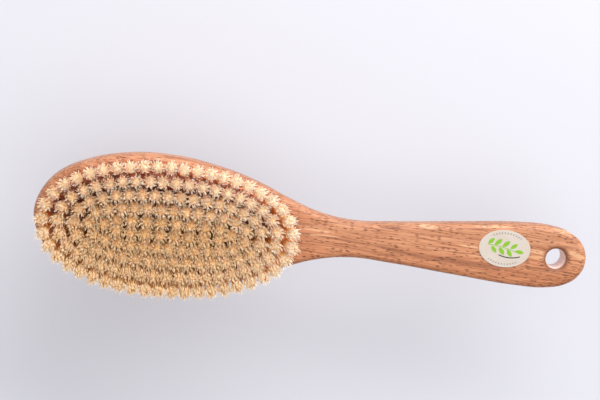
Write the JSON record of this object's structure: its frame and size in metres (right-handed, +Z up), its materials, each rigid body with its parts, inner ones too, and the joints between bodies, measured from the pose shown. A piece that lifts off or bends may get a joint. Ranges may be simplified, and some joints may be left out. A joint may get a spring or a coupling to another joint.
{
  "type": "body dry brush",
  "caption": "Flat paddle body brush of one piece of beech: an oval head set with rings of natural bristle tufts, a waisted flat handle with a hanging hole, and an oval label.",
  "frame": {"origin": "on the surface the brush lies on, under the middle of its length and width", "axes": "+X from the brush head to the handle's end, +Y across the brush, +Z up through the bristles; the brush lies on its flat back"},
  "size_m": [0.26, 0.0624, 0.0302],
  "materials": {
    "beech": "oiled beech, satin, fine dark flecks along the grain",
    "bristle": "natural cream boar bristle, golden at the roots, nearly white at the tips",
    "label": "satin off-white paper sticker with a plain green leaf shape"
  },
  "bodies": {
    "root": {"brush_body": "beech", "label": "label", "tufts_ring1_01": "bristle", "tufts_ring1_02": "bristle", "tufts_ring1_03": "bristle", "tufts_ring1_04": "bristle", "tufts_ring1_05": "bristle", "tufts_ring1_06": "bristle", "tufts_ring1_07": "bristle", "tufts_ring1_08": "bristle", "tufts_ring1_09": "bristle", "tufts_ring1_10": "bristle", "tufts_ring1_11": "bristle", "tufts_ring1_12": "bristle", "tufts_ring1_13": "bristle", "tufts_ring1_14": "bristle", "tufts_ring1_15": "bristle", "tufts_ring2_01": "bristle", "tufts_ring2_02": "bristle", "tufts_ring2_03": "bristle", "tufts_ring2_04": "bristle", "tufts_ring2_05": "bristle", "tufts_ring2_06": "bristle", "tufts_ring2_07": "bristle", "tufts_ring2_08": "bristle", "tufts_ring2_09": "bristle", "tufts_ring2_10": "bristle", "tufts_ring2_11": "bristle", "tufts_ring2_12": "bristle", "tufts_ring2_13": "bristle", "tufts_ring3_01": "bristle", "tufts_ring3_02": "bristle", "tufts_ring3_03": "bristle", "tufts_ring3_04": "bristle", "tufts_ring3_05": "bristle", "tufts_ring3_06": "bristle", "tufts_ring3_07": "bristle", "tufts_ring3_08": "bristle", "tufts_ring3_09": "bristle", "tufts_ring3_10": "bristle", "tufts_ring3_11": "bristle", "tufts_ring4_01": "bristle", "tufts_ring4_02": "bristle", "tufts_ring4_03": "bristle", "tufts_ring4_04": "bristle", "tufts_ring4_05": "bristle", "tufts_ring4_06": "bristle", "tufts_ring4_07": "bristle", "tufts_ring4_08": "bristle", "tufts_ring4_09": "bristle", "tufts_ring5_01": "bristle", "tufts_ring5_02": "bristle", "tufts_ring5_03": "bristle", "tufts_ring5_04": "bristle", "tufts_ring5_05": "bristle", "tufts_ring5_06": "bristle"}
  },
  "joints": []
}
